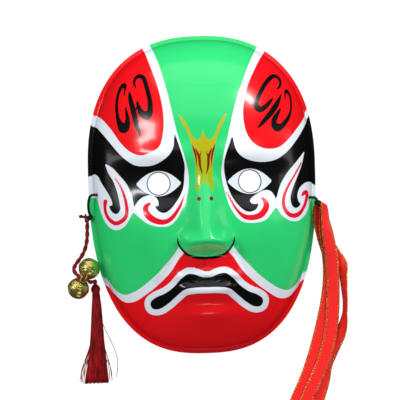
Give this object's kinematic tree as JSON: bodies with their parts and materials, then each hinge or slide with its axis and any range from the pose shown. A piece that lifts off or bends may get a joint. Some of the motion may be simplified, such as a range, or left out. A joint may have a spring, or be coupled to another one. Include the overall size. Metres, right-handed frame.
{
  "type": "chinese opera mask",
  "caption": "Full-face moulded plastic opera mask with painted face, round eye holes, elastic strap, brass jingle bells with a silk tassel, and folded ribbons.",
  "frame": {"origin": "middle of the rim's oval, on the surface that the mask lies on", "axes": "+Z out of the face, +Y towards the top of the head, +X to the right of someone looking at the face"},
  "size_m": [0.2114, 0.2979, 0.0772],
  "materials": {
    "painted_shell": "glossy thin moulded plastic with hand-painted green, red, white, black and gold areas",
    "elastic": "round braided black elastic",
    "silk_cord": "doubled red silk cord",
    "bell": "polished yellow brass",
    "tassel_silk": "loose crimson silk strands",
    "ribbon": "bright red satin with gold metallic threads along both edges"
  },
  "bodies": {
    "root": {"mask_shell": "painted_shell", "elastic_strap": "elastic", "tassel_cord": "silk_cord", "bell_left": "bell", "bell_right": "bell", "tassel": "tassel_silk", "ribbon_inner": "ribbon", "ribbon_outer": "ribbon"}
  },
  "joints": []
}
